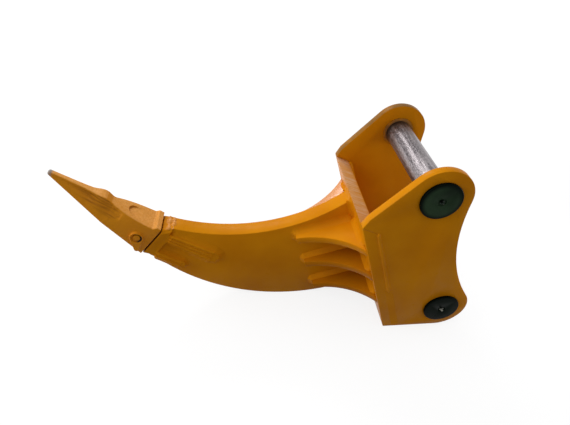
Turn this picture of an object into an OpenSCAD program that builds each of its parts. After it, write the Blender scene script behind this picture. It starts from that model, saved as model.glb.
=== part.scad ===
// Single-shank ripper attachment for an excavator, lying as it is set down:
// on the lower edges of its two ears and on the belly of its curved shank.
// Everything is drawn square to the base plate, with the stick pin's axis as
// the origin, and is then leaned over into the resting pose.

/* [Head] */
// Width over the outer faces of the two ears
head_w = 400; // [320:1:520]
// Thickness of each ear plate
ear_t = 25; // [20:1:45]
// Radius of the ear around each pin
ear_r = 92; // [80:1:110]
// Radius of the hollow in the ear's rear edge, between the two pins
ear_waist_r = 590; // [450:5:900]
// Length of the 45 degree corner at the top front of each ear
ear_corner = 23; // [10:1:35]
// Thickness of the base plate
base_t = 38; // [25:1:50]
// Depth of the base plate's top front edge below the stick pin's axis
base_top = 28; // [5:1:45]
// Angle of the bevel on the base plate's top edge
base_bevel = 42; // [10:1:50]
// Height of the base plate's lower front edge above the ground
base_lift = 1; // [0.5:0.5:10]
// Lean of the base plate when the ripper lies on the ground
lean = 18; // [12:0.5:24]

/* [Pins] */
// Distance between the two pins, along the base plate
pin_spacing = 480; // [420:1:560]
// Distance of the stick pin's axis behind the base plate
stick_back = 180; // [150:1:220]
// Distance of the link pin's axis behind the base plate
link_back = 165; // [130:1:200]
// Diameter of both pins
pin_d = 80; // [60:1:90]
// Running clearance of a pin in its bushes, on the diameter
pin_play = 0.6; // [0.2:0.1:2]
// Wall of the hardened bush in each ear
bush_wall = 10; // [6:0.5:14]
// Diameter of the discs on the ends of the pins
disc_d = 118; // [108:1:140]
// Thickness of the discs
disc_t = 9; // [7:0.5:20]
// Edge chamfer of the discs
disc_edge = 2; // [0.5:0.5:4]
// Diameter of the recess in the middle of a flange disc
recess_d = 24; // [18:1:36]
// Depth of that recess
recess_h = 4; // [2:0.5:5]
// Thread diameter of the bolt that holds a cap disc
bolt_d = 20; // [12:1:24]
// Length of that bolt under its head
bolt_l = 55; // [40:1:90]
// Width across the corners of the bolt's head
bolt_head_d = 34; // [28:0.5:44]
// Height of the bolt's head
bolt_head_h = 13; // [8:0.5:18]
// Clearance of the bolt in its holes, on the diameter
bolt_play = 1; // [0.4:0.2:3]
// Diameter of a grease nipple's collar
nipple_d = 12; // [8:0.5:16]
// Height of a grease nipple
nipple_h = 12; // [9:0.5:18]
// Height of a grease nipple's collar
nipple_collar_h = 4; // [2:0.5:5]
// Diameter of a grease nipple's neck
nipple_neck_d = 6; // [4:0.5:7]
// Diameter of a grease nipple's ball
nipple_ball_d = 8; // [7.5:0.5:9]

/* [Shank] */
// Thickness of the shank plate
shank_t = 55; // [40:1:75]
// Radius of the shank's upper edge
shank_top_r = 570; // [500:5:640]
// Depth of the upper edge's lowest point below the stick pin
shank_top_dip = 101; // [85:1:120]
// Distance of that lowest point in front of the base plate
shank_top_run = 210; // [180:1:240]
// Radius of the shank's lower edge
shank_belly_r = 587; // [560:1:610]
// Distance of the lower edge's centre in front of the base plate
shank_belly_run = 120; // [100:1:140]

/* [Ribs] */
// Thickness of the ribs beside the shank
rib_t = 25; // [12:1:32]
// Length of a rib along the shank
rib_l = 200; // [150:1:230]
// Distance from a rib's outer end to the outer face of the ear
rib_margin = 12; // [8:1:40]
// Width of a rib's blunt tip
rib_tip = 30; // [10:1:40]
// Radius of a rib's hollow edge
rib_r = 300; // [180:5:600]
// Depth of the middle rib below the point halfway between the pins
rib_drop = 22; // [10:1:30]
// Distance from one rib to the next
rib_pitch = 117; // [80:1:120]

/* [Tooth] */
// Distance of the tooth's rear rim in front of the base plate
seat_reach = 642; // [620:1:670]
// Height of the middle of that rim above the stick pin
seat_rise = 0; // [-20:1:20]
// Angle of the tooth against the base plate's normal
tooth_angle = 57; // [52:0.5:62]
// Length of the tooth
tooth_l = 346; // [320:1:400]
// Length of the tooth's socket end, from the rim to the neck
socket_l = 155; // [148:1:162]
// Width of the tooth at its rear rim
tooth_w = 92; // [86:1:104]
// Height of the rear rim above the tooth's axis
rim_top = 66; // [62:1:74]
// Depth of the rear rim below the tooth's axis
rim_bottom = 57; // [52:1:62]
// Length of the thick lip along the rear rim
lip_l = 16; // [8:1:22]
// Height of the lip over the socket's roof
lip_h = 8; // [4:0.5:9]
// Width of the neck's upper side
neck_w = 39; // [34:1:50]
// Width of the neck's lower side
heel_w = 81; // [70:1:86]
// Height of the neck above the tooth's axis
neck_top = 52; // [48:1:56]
// Depth of the neck below the tooth's axis
neck_bottom = 18; // [14:1:26]
// Height of the shoulder in front of the neck
shoulder_top = 59; // [54:1:66]
// Width of the shoulder's upper side
shoulder_w = 42; // [30:1:54]
// Length from the neck to the top of the shoulder
shoulder_l = 31; // [20:1:40]
// Length of the slope from the shoulder down to the blade's ridge
slope_l = 46; // [30:1:60]
// Width of the blade's ridge at the foot of that slope
ridge_w = 25; // [18:1:32]
// Height of the ridge there, above the tooth's axis
ridge_top = 51.5; // [46:0.5:56]
// Depth of the flutes along the blade's flanks
flute = 6; // [2:0.5:8]
// Distance of the flutes' round ends behind the neck
flute_back = 37; // [20:1:42]
// Length over which a flute gains its depth
flute_run = 36; // [20:1:60]
// Length of the scoop in the socket's roof
scoop_l = 45; // [30:1:50]
// Width of that scoop
scoop_w = 42; // [24:1:46]
// Depth of its front end
scoop_h = 7; // [3:0.5:8]
// Distance of its front end in front of the rim
scoop_run = 107; // [100:1:110]
// Width of the cutting tip
tip_w = 17; // [12:1:28]
// Height of the cutting tip above the tooth's axis
tip_top = 42; // [38:1:46]
// Thickness of the cutting tip
tip_t = 11; // [6:0.5:16]
// Rounding of the cutting tip
tip_edge = 3; // [1:0.5:5]
// Chamfer of the tooth's long edges
tooth_edge = 3; // [1:0.5:6]

/* [Adapter] */
// Length of the adapter's collar, between the shank and the tooth
collar_l = 27; // [18:1:40]
// Step from the tooth's lip down to the collar's top
collar_step = 5; // [2:0.5:10]
// Chamfer along the collar's four long edges
collar_edge = 11; // [4:0.5:16]
// Open gap between the collar and the tooth's rim
seat_gap = 5; // [2:0.5:10]
// Length of the nose inside the tooth
nose_l = 112; // [95:1:122]
// Wall of the tooth around the root of the nose
socket_wall = 13; // [10:0.5:16]
// Width of the nose at its front
nose_tip_w = 40; // [32:1:46]
// Height of the nose's front above the tooth's axis
nose_tip_top = 34; // [26:1:36]
// Depth of the nose's front below the tooth's axis
nose_tip_bottom = 12; // [8:1:15]
// Clearance between the nose and the socket
socket_play = 1; // [0.4:0.1:2]
// Thickness of the cheeks welded on the shank's sides
cheek_t = 12; // [8:0.5:16]
// Length of the undivided root of each cheek
cheek_root = 10; // [6:1:30]
// Length of the upper leg of each cheek
upper_leg_l = 165; // [120:1:190]
// Half width of the upper leg at its end
upper_leg_r = 23; // [16:1:27]
// Half width of the upper leg at the collar
upper_root_r = 16; // [12:1:20]
// Slope of the upper leg against the tooth's axis
upper_leg_angle = 6; // [2:0.5:16]
// Length of the lower leg of each cheek
lower_leg_l = 103; // [70:1:130]
// Half width of the lower leg at its end
lower_leg_r = 13; // [10:1:18]
// Half width of the lower leg at the collar
lower_root_r = 12; // [9:1:16]
// Slope of the lower leg against the tooth's axis
lower_leg_angle = 5; // [2:0.5:12]
// Distance of the lower leg above the collar's lower edge
lower_leg_lift = 7; // [4:1:12]

/* [Tooth pin] */
// Diameter of the pin that locks the tooth
lock_d = 22; // [16:0.5:24]
// Clearance of that pin in its holes, on the diameter
lock_play = 0.8; // [0.3:0.1:2]
// Distance of the pin in front of the tooth's rim
lock_run = 45; // [40:1:50]
// Depth of the pin below the tooth's axis
lock_drop = 2; // [0:1:8]
// Diameter of the boss around the pin on each side of the tooth
boss_d = 42; // [38:1:48]
// Height of the boss over the tooth's side
boss_h = 6; // [3:0.5:10]
// Length of the lug that runs from the boss to the lower rim
lug_l = 46; // [36:1:50]
// Half width of that lug's end
lug_r = 9; // [7:1:14]
// Slope of the lug against the tooth's axis
lug_angle = 60; // [54:1:75]
// Diameter of the sunk ring around the pin's ends
sink_d = 34; // [28:0.5:36]
// Depth of that ring
sink_h = 6; // [3:0.5:8]
// Distance of the pin's ends inside the face of the bosses
lock_inset = 2; // [0.5:0.5:5]
// Outside diameter of the retainer ring around the pin
retainer_d = 32; // [29:0.5:34]
// Thickness of the retainer ring
retainer_t = 9; // [5:0.5:12]

/* [Hidden] */
$fn = 96;

paint = [0.80, 0.48, 0.10];
steel = [0.68, 0.67, 0.68];
bronze = [0.55, 0.50, 0.42];
dark_paint = [0.11, 0.16, 0.14];
eps = 0.01;
arc_step = 3;

// Faces of the base plate and place of the link pin, square to the base plate
rear_x = -stick_back;
front_x = rear_x - base_t;
link = [link_back - stick_back, -pin_spacing];
half_w = head_w / 2;
half_shank = shank_t / 2;

// The ground, as a line under the lower round of the ears
ground_normal = [-sin(lean), -cos(lean)];
ground_run = link * ground_normal + ear_r;
function ground_z(x) = -(ground_run + sin(lean) * x) / cos(lean);

// Arc around c from angle a0 to angle a1
function arc(c, r, a0, a1) =
  let(n = max(2, ceil(abs(a1 - a0) / arc_step)))
  [for (i = [0:n]) let(a = a0 + (a1 - a0) * i / n) c + r * [cos(a), sin(a)]];
// Angle of a direction, from 0 to 360
function angle_of(v) = (atan2(v.y, v.x) + 360) % 360;
// Left-hand normal of the way from a to b
function left_of(a, b) = [a.y - b.y, b.x - a.x] / norm(b - a);
// Arc of radius r from a to b around a centre on the left of that way
function arc_between(a, b, r) =
  let(half = norm(b - a) / 2, c = (a + b) / 2 + left_of(a, b) * sqrt(r * r - half * half),
    a0 = angle_of(a - c))
  arc(c, r, a0, a0 + 2 * asin(half / r));
// Point where the line from p along d meets a circle, on the side given by sign
function on_circle(p, d, c, r, sign) =
  let(m = p - c, b = m * d)
  p + d * (-b + sign * sqrt(b * b - m * m + r * r));
// Outline of a leg from p to q, round at both ends
function leg(p, q, rp, rq) =
  let(a = angle_of(q - p))
  concat(arc(q, rq, a - 90, a + 90), arc(p, rp, a + 90, a + 270));

module lay_down() rotate([0, -lean, 0]) children();
module at_link() translate([link.x, 0, link.y]) children();
// Plate cut from an outline in x and z, between y and y + t
module plate(y, t) translate([0, y + t, 0]) rotate([90, 0, 0]) linear_extrude(t) children();
// Turns a piece drawn along z so that it runs along y, from y on
module along_y(y) translate([0, y, 0]) rotate([-90, 0, 0]) children();

// Base plate, its top edge bevelled towards the pins
bevel_z = -base_top - base_t * tan(base_bevel);
base_bottom = ground_z(front_x) + base_lift;
module base_plate() color(paint) lay_down() plate(-half_w, head_w)
  polygon([[front_x, -base_top], [rear_x, bevel_z], [rear_x, base_bottom], [front_x, base_bottom]]);

// Ears: round about both pins, hollow between them at the rear, and standing on
// the base plate with a corner that reaches over its bevel
corner_tip = [front_x, -base_top];
corner_top = corner_tip + [ear_corner, ear_corner];
brow_angle = angle_of(corner_top) - acos(ear_r / norm(corner_top));
waist = link / 2 + left_of([0, 0], link) * sqrt(pow(ear_r + ear_waist_r, 2) - pow(norm(link) / 2, 2));
module ear_outline() difference() {
  polygon(concat(
    [corner_tip, corner_top],
    arc([0, 0], ear_r, brow_angle, angle_of(waist) - 360),
    arc(waist, ear_waist_r, angle_of(-waist), angle_of(link - waist)),
    arc(link, ear_r, angle_of(waist - link), -90 - lean),
    [[rear_x, ground_z(rear_x)], [rear_x, bevel_z]]));
  circle(d = pin_d + 2 * bush_wall);
  translate(link) circle(d = pin_d + 2 * bush_wall);
}
module near_ear() color(paint) lay_down() plate(-half_w, ear_t) ear_outline();
module far_ear() color(paint) lay_down() plate(half_w - ear_t, ear_t) ear_outline();

// Hardened bush pressed into each ear
module bush() difference() {
  cylinder(d = pin_d + 2 * bush_wall, h = ear_t);
  translate([0, 0, -eps]) cylinder(d = pin_d + pin_play, h = ear_t + 2 * eps);
}
module near_stick_bush() color(bronze) lay_down() along_y(-half_w) bush();
module far_stick_bush() color(bronze) lay_down() along_y(half_w - ear_t) bush();
module near_link_bush() color(bronze) lay_down() at_link() along_y(-half_w) bush();
module far_link_bush() color(bronze) lay_down() at_link() along_y(half_w - ear_t) bush();

// Frame of the tooth: u runs forward along its axis, v towards its upper side
tooth_dir = [-cos(tooth_angle), sin(tooth_angle)];
tooth_up = [sin(tooth_angle), cos(tooth_angle)];
seat = [front_x - seat_reach, seat_rise];
module at_seat() translate([seat.x, 0, seat.y])
  rotate([0, tooth_angle - 180, 0]) rotate([180, 0, 0]) children();

// Shank: a plate between two arcs, from the base plate to the adapter's collar,
// with the lower arc touching the ground
end_u = -seat_gap - collar_l;
end_mid = seat + end_u * tooth_dir;
top_c = [front_x - shank_top_run, shank_top_r - shank_top_dip];
belly_c = [front_x - shank_belly_run,
  (shank_belly_r - ground_run - sin(lean) * (front_x - shank_belly_run)) / cos(lean)];
end_top = on_circle(end_mid, tooth_up, top_c, shank_top_r, -1);
end_bottom = on_circle(end_mid, tooth_up, belly_c, shank_belly_r, -1);
root_top = on_circle([front_x, 0], [0, -1], top_c, shank_top_r, 1);
root_bottom = on_circle([front_x, 0], [0, -1], belly_c, shank_belly_r, 1);
module shank() color(paint) lay_down() plate(-half_shank, shank_t) polygon(concat(
  arc(top_c, shank_top_r, angle_of(root_top - top_c), angle_of(end_top - top_c)),
  arc(belly_c, shank_belly_r, angle_of(end_bottom - belly_c), angle_of(root_bottom - belly_c))));

// Ribs: three on each side, between the shank and the base plate
rib_tip_at = [front_x - rib_l, half_shank + rib_tip];
rib_middle = -pin_spacing / 2 - rib_drop;
module rib(n) translate([0, 0, rib_middle - n * rib_pitch - rib_t / 2]) linear_extrude(rib_t)
  polygon(concat([[front_x, half_shank], [front_x - rib_l, half_shank]],
    arc_between(rib_tip_at, [front_x, half_w - rib_margin], rib_r)));
module near_rib(n) color(paint) lay_down() mirror([0, 1, 0]) rib(n);
module far_rib(n) color(paint) lay_down() rib(n);
module near_top_rib() near_rib(-1);
module near_middle_rib() near_rib(0);
module near_bottom_rib() near_rib(1);
module far_top_rib() far_rib(-1);
module far_middle_rib() far_rib(0);
module far_bottom_rib() far_rib(1);

function mix(a, b, t) = a + (b - a) * t;
// Half of a section's ring, from its upper edge down one flank to its lower edge, with
// the flute between the upper edge and half height
flute_steps = 5;
function flank(s, e, k) =
  [mix(s[3], s[4], k) - s[5] * sin(min(360 * k, 180)), mix(s[1] - e, s[2] + e, k)];
function half_ring(s, edge) =
  let(e = min(edge, s[3] / 2, (s[1] - s[2]) / 4))
  concat([[s[3] - e, s[1]]],
    [for (i = [0:flute_steps]) flank(s, e, i / flute_steps / 2)],
    [flank(s, e, 1), [s[4] - e, s[2]]]);
function ring(s, edge) = let(h = half_ring(s, edge), n = len(h) - 1)
  concat([for (p = h) [s[0], p.x, p.y]], [for (i = [n:-1:0]) [s[0], -h[i].x, h[i].y]]);
// Solid through a row of sections, each given by its place, its upper and lower
// edge, its half width above and below, and the hollow of its flanks
module loft(sections, edge) {
  rings = [for (s = sections) ring(s, edge)];
  n = len(rings[0]);
  last = len(rings) - 1;
  polyhedron(
    [for (r = rings, p = r) p],
    concat(
      [[for (j = [n - 1:-1:0]) j], [for (j = [0:n - 1]) last * n + j]],
      [for (i = [0:last - 1], j = [0:n - 1], upper = [true, false])
        let(a = i * n + j, b = i * n + (j + 1) % n)
        upper ? [a, b, b + n] : [a, b + n, a + n]]));
}

// Nose of the adapter, and with some play the socket of the tooth
nose_root_w = tooth_w - 2 * socket_wall;
nose_root_top = rim_top - lip_h - socket_wall;
nose_root_bottom = rim_bottom - socket_wall;
module nose(play, back) intersection() {
  plate(-tooth_w / 2, tooth_w) polygon([[-back, nose_root_top + play], [0, nose_root_top + play],
    [nose_l, nose_tip_top + play], [nose_l, -nose_tip_bottom - play],
    [0, -nose_root_bottom - play], [-back, -nose_root_bottom - play]]);
  translate([0, 0, -rim_bottom]) linear_extrude(rim_bottom + rim_top)
    polygon([[-back, nose_root_w / 2 + play], [0, nose_root_w / 2 + play],
      [nose_l, nose_tip_w / 2 + play], [nose_l, -nose_tip_w / 2 - play],
      [0, -nose_root_w / 2 - play], [-back, -nose_root_w / 2 - play]]);
}
module lock_bore() translate([lock_run, 0, -lock_drop]) along_y(-tooth_w)
  cylinder(d = lock_d + lock_play, h = 2 * tooth_w);

// Retainer ring in a recess of the nose, around the locking pin
retainer_y = nose_root_w / 2 - (nose_root_w - nose_tip_w) / 2 * (lock_run + retainer_d / 2) / nose_l;
module at_retainer() translate([lock_run, 0, -lock_drop]) along_y(-retainer_y) children();

// Adapter: a collar on the shank's end, the nose, and on each side a forked
// cheek lying on the shank
cheek_out = half_shank + cheek_t;
end_top_v = (end_top - seat) * tooth_up;
end_bottom_v = (end_bottom - seat) * tooth_up;
upper_root = [end_u, (rim_top + upper_root_r) / 2];
upper_end = upper_root + upper_leg_l * [-cos(upper_leg_angle), sin(upper_leg_angle)];
lower_root = [end_u, -rim_bottom + lower_leg_lift + lower_root_r];
lower_end = lower_root + lower_leg_l * [-cos(lower_leg_angle), sin(lower_leg_angle)];
module collar() loft([[end_u, end_top_v, end_bottom_v, cheek_out, cheek_out, 0],
  [-seat_gap, rim_top - collar_step, -rim_bottom, tooth_w / 2, tooth_w / 2, 0]], collar_edge);
module cheek() plate(half_shank, cheek_t) union() {
  polygon(leg(upper_root, upper_end, upper_root_r, upper_leg_r));
  polygon(leg(lower_root, lower_end, lower_root_r, lower_leg_r));
  polygon([[end_u + cheek_t / 2, upper_root.y + upper_root_r], [end_u - cheek_root, upper_root.y],
    [end_u - cheek_root, lower_root.y], [end_u + cheek_t / 2, lower_root.y - lower_root_r]]);
}
module adapter() color(paint) lay_down() at_seat() difference() {
  union() {
    collar();
    nose(0, seat_gap + eps);
    cheek();
    mirror([0, 1, 0]) cheek();
  }
  lock_bore();
  at_retainer() cylinder(d = retainer_d + lock_play, h = retainer_t);
  at_retainer() mirror([0, 0, 1]) cylinder(d = retainer_d + lock_play, h = tooth_w);
}

// Cast tooth, as functions of the distance u from its rim: the socket runs to the neck,
// then the shoulder rises to its crest and falls to the foot of the blade's ridge
crest_u = socket_l + shoulder_l;
foot_u = crest_u + slope_l;
flute_u = socket_l - flute_back;
// How sharply the roof's height falls behind the lip, and its width before the neck
roof_power = 3;
plan_power = 2.5;
// Longest distance from one section to the next
section_step = 10;
function share(u, a, b) = max(0, min(1, (u - a) / (b - a)));
function ease(t) = (1 - cos(180 * t)) / 2;
function roof_v(u) =
  mix(neck_top, rim_top - lip_h, pow(1 - share(u, 0, socket_l), roof_power));
function top_v(u) =
  u <= lip_l ? rim_top :
  u < socket_l ? roof_v(u) :
  u < crest_u ? mix(neck_top, shoulder_top, ease(share(u, socket_l, crest_u))) :
  u < foot_u ? mix(shoulder_top, ridge_top, ease(share(u, crest_u, foot_u))) :
  mix(ridge_top, tip_top, share(u, foot_u, tooth_l));
function top_w(u) =
  u < socket_l ? mix(tooth_w, neck_w, pow(u / socket_l, plan_power)) :
  u < crest_u ? mix(neck_w, shoulder_w, ease(share(u, socket_l, crest_u))) :
  u < foot_u ? mix(shoulder_w, ridge_w, ease(share(u, crest_u, foot_u))) :
  mix(ridge_w, tip_w, sqrt(share(u, foot_u, tooth_l)));
function bottom_v(u) =
  u < socket_l ? mix(-rim_bottom, -neck_bottom, u / socket_l) :
  mix(-neck_bottom, tip_top - tip_t, share(u, socket_l, tooth_l));
function bottom_w(u) =
  u < socket_l ? mix(tooth_w, heel_w, u / socket_l) :
  mix(heel_w, tip_w, share(u, socket_l, tooth_l));
// A flute starts with a round end and fades out along the ridge
function flute_depth(u) =
  flute * sqrt(1 - pow(1 - share(u, flute_u, flute_u + flute_run), 2)) * (1 - share(u, foot_u, tooth_l));
function section(u) = [u, top_v(u), bottom_v(u), top_w(u) / 2, bottom_w(u) / 2, flute_depth(u)];
// Even steps, or with a power of 2 steps that crowd together at the flute's round end
function steps(a, b, power = 1) = let(n = ceil((b - a) / section_step) + power - 1)
  [for (i = [0:n - 1]) mix(a, b, pow(i / n, power))];
tip = section(tooth_l);
tooth_sections = concat(
  [for (u = concat([0, lip_l], steps(lip_l + lip_h, flute_u), steps(flute_u, socket_l, 2),
    steps(socket_l, crest_u), steps(crest_u, foot_u), steps(foot_u, tooth_l - tip_edge),
    [tooth_l - tip_edge])) section(u)],
  [[tooth_l, tip[1] - tip_edge, tip[2] + tip_edge, tip[3] - tip_edge, tip[4] - tip_edge, 0]]);
// Boss and lug around the pin on each side of the tooth
boss_at = [lock_run, -lock_drop];
lug_at = boss_at + lug_l * [-cos(lug_angle), -sin(lug_angle)];
module boss() plate(nose_root_w / 2 + socket_wall / 2, socket_wall / 2 + boss_h)
  polygon(leg(boss_at, lug_at, boss_d / 2, lug_r));
module sink() translate([lock_run, 0, -lock_drop]) along_y(tooth_w / 2 + boss_h - sink_h)
  cylinder(d = sink_d, h = 2 * sink_h);
// Scoop in the roof: its floor leaves the roof at the rear and dives towards the round end
scoop_back = scoop_run - scoop_l;
scoop_dive = atan2(roof_v(scoop_back) - roof_v(scoop_run) + scoop_h, scoop_l);
module scoop() translate([scoop_back, 0, roof_v(scoop_back)]) rotate([0, scoop_dive, 0])
  linear_extrude(2 * scoop_h) union() {
    translate([0, -scoop_w / 2]) square([scoop_l - scoop_w / 2, scoop_w]);
    translate([scoop_l - scoop_w / 2, 0]) circle(d = scoop_w);
  }
module tooth_point() color(paint) lay_down() at_seat() difference() {
  union() {
    loft(tooth_sections, tooth_edge);
    boss();
    mirror([0, 1, 0]) boss();
  }
  nose(socket_play, eps);
  lock_bore();
  sink();
  mirror([0, 1, 0]) sink();
  scoop();
}

// Pin through the tooth and the nose, with its retainer ring
lock_half = tooth_w / 2 + boss_h - lock_inset;
module tooth_pin() color(steel) lay_down() at_seat() translate([lock_run, 0, -lock_drop])
  along_y(-lock_half) cylinder(d = lock_d, h = 2 * lock_half);
module tooth_pin_retainer() color(steel) lay_down() at_seat() at_retainer() difference() {
  cylinder(d = retainer_d, h = retainer_t);
  translate([0, 0, -eps]) cylinder(d = lock_d + lock_play, h = retainer_t + 2 * eps);
}

// Mounting pins, each with a flange disc on the near end and on the far end a
// cap disc held by a bolt
bolt_in = bolt_l - disc_t;
module mounting_pin() difference() {
  along_y(-half_w) cylinder(d = pin_d, h = head_w);
  along_y(half_w - bolt_in - bolt_d / 2) cylinder(d = bolt_d + bolt_play, h = bolt_in + bolt_d);
}
module disc() {
  cylinder(d = disc_d, h = disc_t - disc_edge);
  translate([0, 0, disc_t - disc_edge]) cylinder(d1 = disc_d, d2 = disc_d - 2 * disc_edge, h = disc_edge);
}
module flange() difference() {
  translate([0, -half_w, 0]) rotate([90, 0, 0]) disc();
  translate([0, -half_w - disc_t + recess_h, 0]) rotate([90, 0, 0]) cylinder(d = recess_d, h = disc_t);
}
module cap() difference() {
  along_y(half_w) disc();
  along_y(half_w - eps) cylinder(d = bolt_d + bolt_play, h = disc_t + 2 * eps);
}
module cap_bolt() {
  along_y(half_w - bolt_in) cylinder(d = bolt_d, h = bolt_l);
  along_y(half_w + disc_t) cylinder(d = bolt_head_d, h = bolt_head_h, $fn = 6);
}
module nipple() translate([0, -half_w - disc_t + recess_h, 0]) rotate([90, 0, 0]) {
  cylinder(d = nipple_d, h = nipple_collar_h);
  cylinder(d = nipple_neck_d, h = nipple_h - nipple_ball_d / 2);
  translate([0, 0, nipple_h - nipple_ball_d / 2]) sphere(d = nipple_ball_d, $fn = 32);
}
module stick_pin() color(steel) lay_down() mounting_pin();
module stick_pin_flange() color(dark_paint) lay_down() flange();
module stick_pin_cap() color(dark_paint) lay_down() cap();
module stick_cap_bolt() color(steel) lay_down() cap_bolt();
module stick_grease_nipple() color(steel) lay_down() nipple();
module link_pin() color(steel) lay_down() at_link() mounting_pin();
module link_pin_flange() color(dark_paint) lay_down() at_link() flange();
module link_pin_cap() color(dark_paint) lay_down() at_link() cap();
module link_cap_bolt() color(steel) lay_down() at_link() cap_bolt();
module link_grease_nipple() color(steel) lay_down() at_link() nipple();

base_plate();
near_ear();
far_ear();
near_stick_bush();
far_stick_bush();
near_link_bush();
far_link_bush();
shank();
near_top_rib();
near_middle_rib();
near_bottom_rib();
far_top_rib();
far_middle_rib();
far_bottom_rib();
adapter();
tooth_point();
tooth_pin();
tooth_pin_retainer();
stick_pin();
stick_pin_flange();
stick_pin_cap();
stick_cap_bolt();
stick_grease_nipple();
link_pin();
link_pin_flange();
link_pin_cap();
link_cap_bolt();
link_grease_nipple();
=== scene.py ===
"""Excavator ripper with a pinned tooth, lying on the floor."""
import math

import bmesh
import bpy
from mathutils import Matrix, Vector, noise


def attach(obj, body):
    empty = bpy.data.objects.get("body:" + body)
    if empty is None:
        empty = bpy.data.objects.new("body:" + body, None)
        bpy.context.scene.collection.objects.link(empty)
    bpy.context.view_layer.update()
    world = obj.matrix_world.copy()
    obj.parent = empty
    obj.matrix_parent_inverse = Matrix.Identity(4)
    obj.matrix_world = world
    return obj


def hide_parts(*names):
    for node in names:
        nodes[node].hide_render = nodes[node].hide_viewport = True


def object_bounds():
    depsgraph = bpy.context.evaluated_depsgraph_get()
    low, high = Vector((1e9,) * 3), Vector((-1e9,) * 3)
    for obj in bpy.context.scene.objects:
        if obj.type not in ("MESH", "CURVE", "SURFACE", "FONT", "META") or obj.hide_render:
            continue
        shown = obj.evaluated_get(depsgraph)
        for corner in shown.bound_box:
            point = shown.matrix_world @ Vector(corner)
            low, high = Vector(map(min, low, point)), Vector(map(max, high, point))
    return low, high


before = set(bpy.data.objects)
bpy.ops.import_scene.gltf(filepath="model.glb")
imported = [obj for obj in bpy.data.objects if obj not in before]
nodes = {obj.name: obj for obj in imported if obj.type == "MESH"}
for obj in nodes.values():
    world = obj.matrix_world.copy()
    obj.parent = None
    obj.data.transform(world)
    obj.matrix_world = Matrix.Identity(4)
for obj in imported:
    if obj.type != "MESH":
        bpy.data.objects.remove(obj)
cad_low, cad_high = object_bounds()
scene = bpy.context.scene


# Base plate: thick plate cut to size by flame, its top edge bevelled and its lower end
# level with the ground. Everything else is welded to it, and the whole weldment is then
# sprayed with orange enamel.
enamel = (0.68, 0.248, 0.003, 1)
enamel_deep = (0.60, 0.200, 0.002, 1)
pale_sheen_enamel = (0.74, 0.44, 0.25, 1)
paint_sheen = 0.03
drag_depth = 0.0012
plate_edge = 0.0022
lean = math.radians(18)
laid_down = Matrix.Rotation(-lean, 3, "Y")
base_low = -0.5098
end_zone = 0.02
base_lines = 0.8
base_grain = (0.2, 2, 0.2)
near_end, far_end, near_sheen = -0.2, 0.15, 0.6


def place(tree, kind, sockets=None, **settings):
    """A shader node with its settings made and its sockets set or linked by name."""
    node = tree.nodes.new(kind)
    for key, value in settings.items():
        setattr(node, key, value)
    for key, value in (sockets or {}).items():
        socket = next(s for s in node.inputs if key in (s.identifier, s.name))
        if isinstance(value, bpy.types.NodeSocket):
            tree.links.new(value, socket)
        else:
            socket.default_value = value
    return node


def effect(name, takes, gives):
    """An empty node group with named sockets, with its inputs and outputs to link to."""
    group = bpy.data.node_groups.new(name, "ShaderNodeTree")
    for socket, (kind, value) in takes.items():
        made = group.interface.new_socket(socket, in_out="INPUT", socket_type="NodeSocket" + kind)
        if value is not None:
            made.default_value = value
    for socket, kind in gives.items():
        group.interface.new_socket(socket, in_out="OUTPUT", socket_type="NodeSocket" + kind)
    ends = group.nodes.new("NodeGroupOutput")
    return group, group.nodes.new("NodeGroupInput").outputs, ends.inputs


def mixed(tree, factor, a, b):
    """Colour between a and b."""
    node = place(tree, "ShaderNodeMix", {"Factor_Float": factor, "A_Color": a, "B_Color": b},
                 data_type="RGBA")
    return next(s for s in node.outputs if s.identifier == "Result_Color")


def ranged(tree, value, low, high, to_low=0.0, to_high=1.0):
    """A value moved from one range to another, and kept inside it."""
    return place(tree, "ShaderNodeMapRange", {
        "Value": value, "From Min": low, "From Max": high, "To Min": to_low, "To Max": to_high,
    }).outputs["Result"]


def reckoned(tree, operation, a, b=0.0):
    """The result of one sum."""
    return place(tree, "ShaderNodeMath", {"Value": a, "Value_001": b}, operation=operation).outputs["Value"]


def product(tree, first, *others):
    """Several values multiplied."""
    for other in others:
        first = reckoned(tree, "MULTIPLY", first, other)
    return first


# Sprayed paint has soft patches of a deeper tone, a gloss that wanders, and orange peel
sprayed, given, result = effect(
    "sprayed paint",
    {"Vector": ("Vector", None), "Tone": ("Color", enamel), "Deep tone": ("Color", enamel_deep),
     "Low roughness": ("Float", 0.25), "High roughness": ("Float", 0.42)},
    {"Color": "Color", "Roughness": "Float", "Height": "Float"},
)
patches = place(sprayed, "ShaderNodeTexNoise", {"Vector": given["Vector"], "Scale": 7.0, "Detail": 3.0})
patch_mask = ranged(sprayed, patches.outputs["Fac"], 0.35, 0.7)
haze = place(sprayed, "ShaderNodeTexNoise", {"Vector": given["Vector"], "Scale": 35.0, "Detail": 4.0})
peel = place(sprayed, "ShaderNodeTexNoise", {"Vector": given["Vector"], "Scale": 420.0, "Detail": 1.0})
sprayed.links.new(mixed(sprayed, patch_mask, given["Tone"], given["Deep tone"]), result["Color"])
sprayed.links.new(
    ranged(sprayed, haze.outputs["Fac"], 0.3, 0.7, given["Low roughness"], given["High roughness"]),
    result["Roughness"])
sprayed.links.new(peel.outputs["Fac"], result["Height"])

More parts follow.
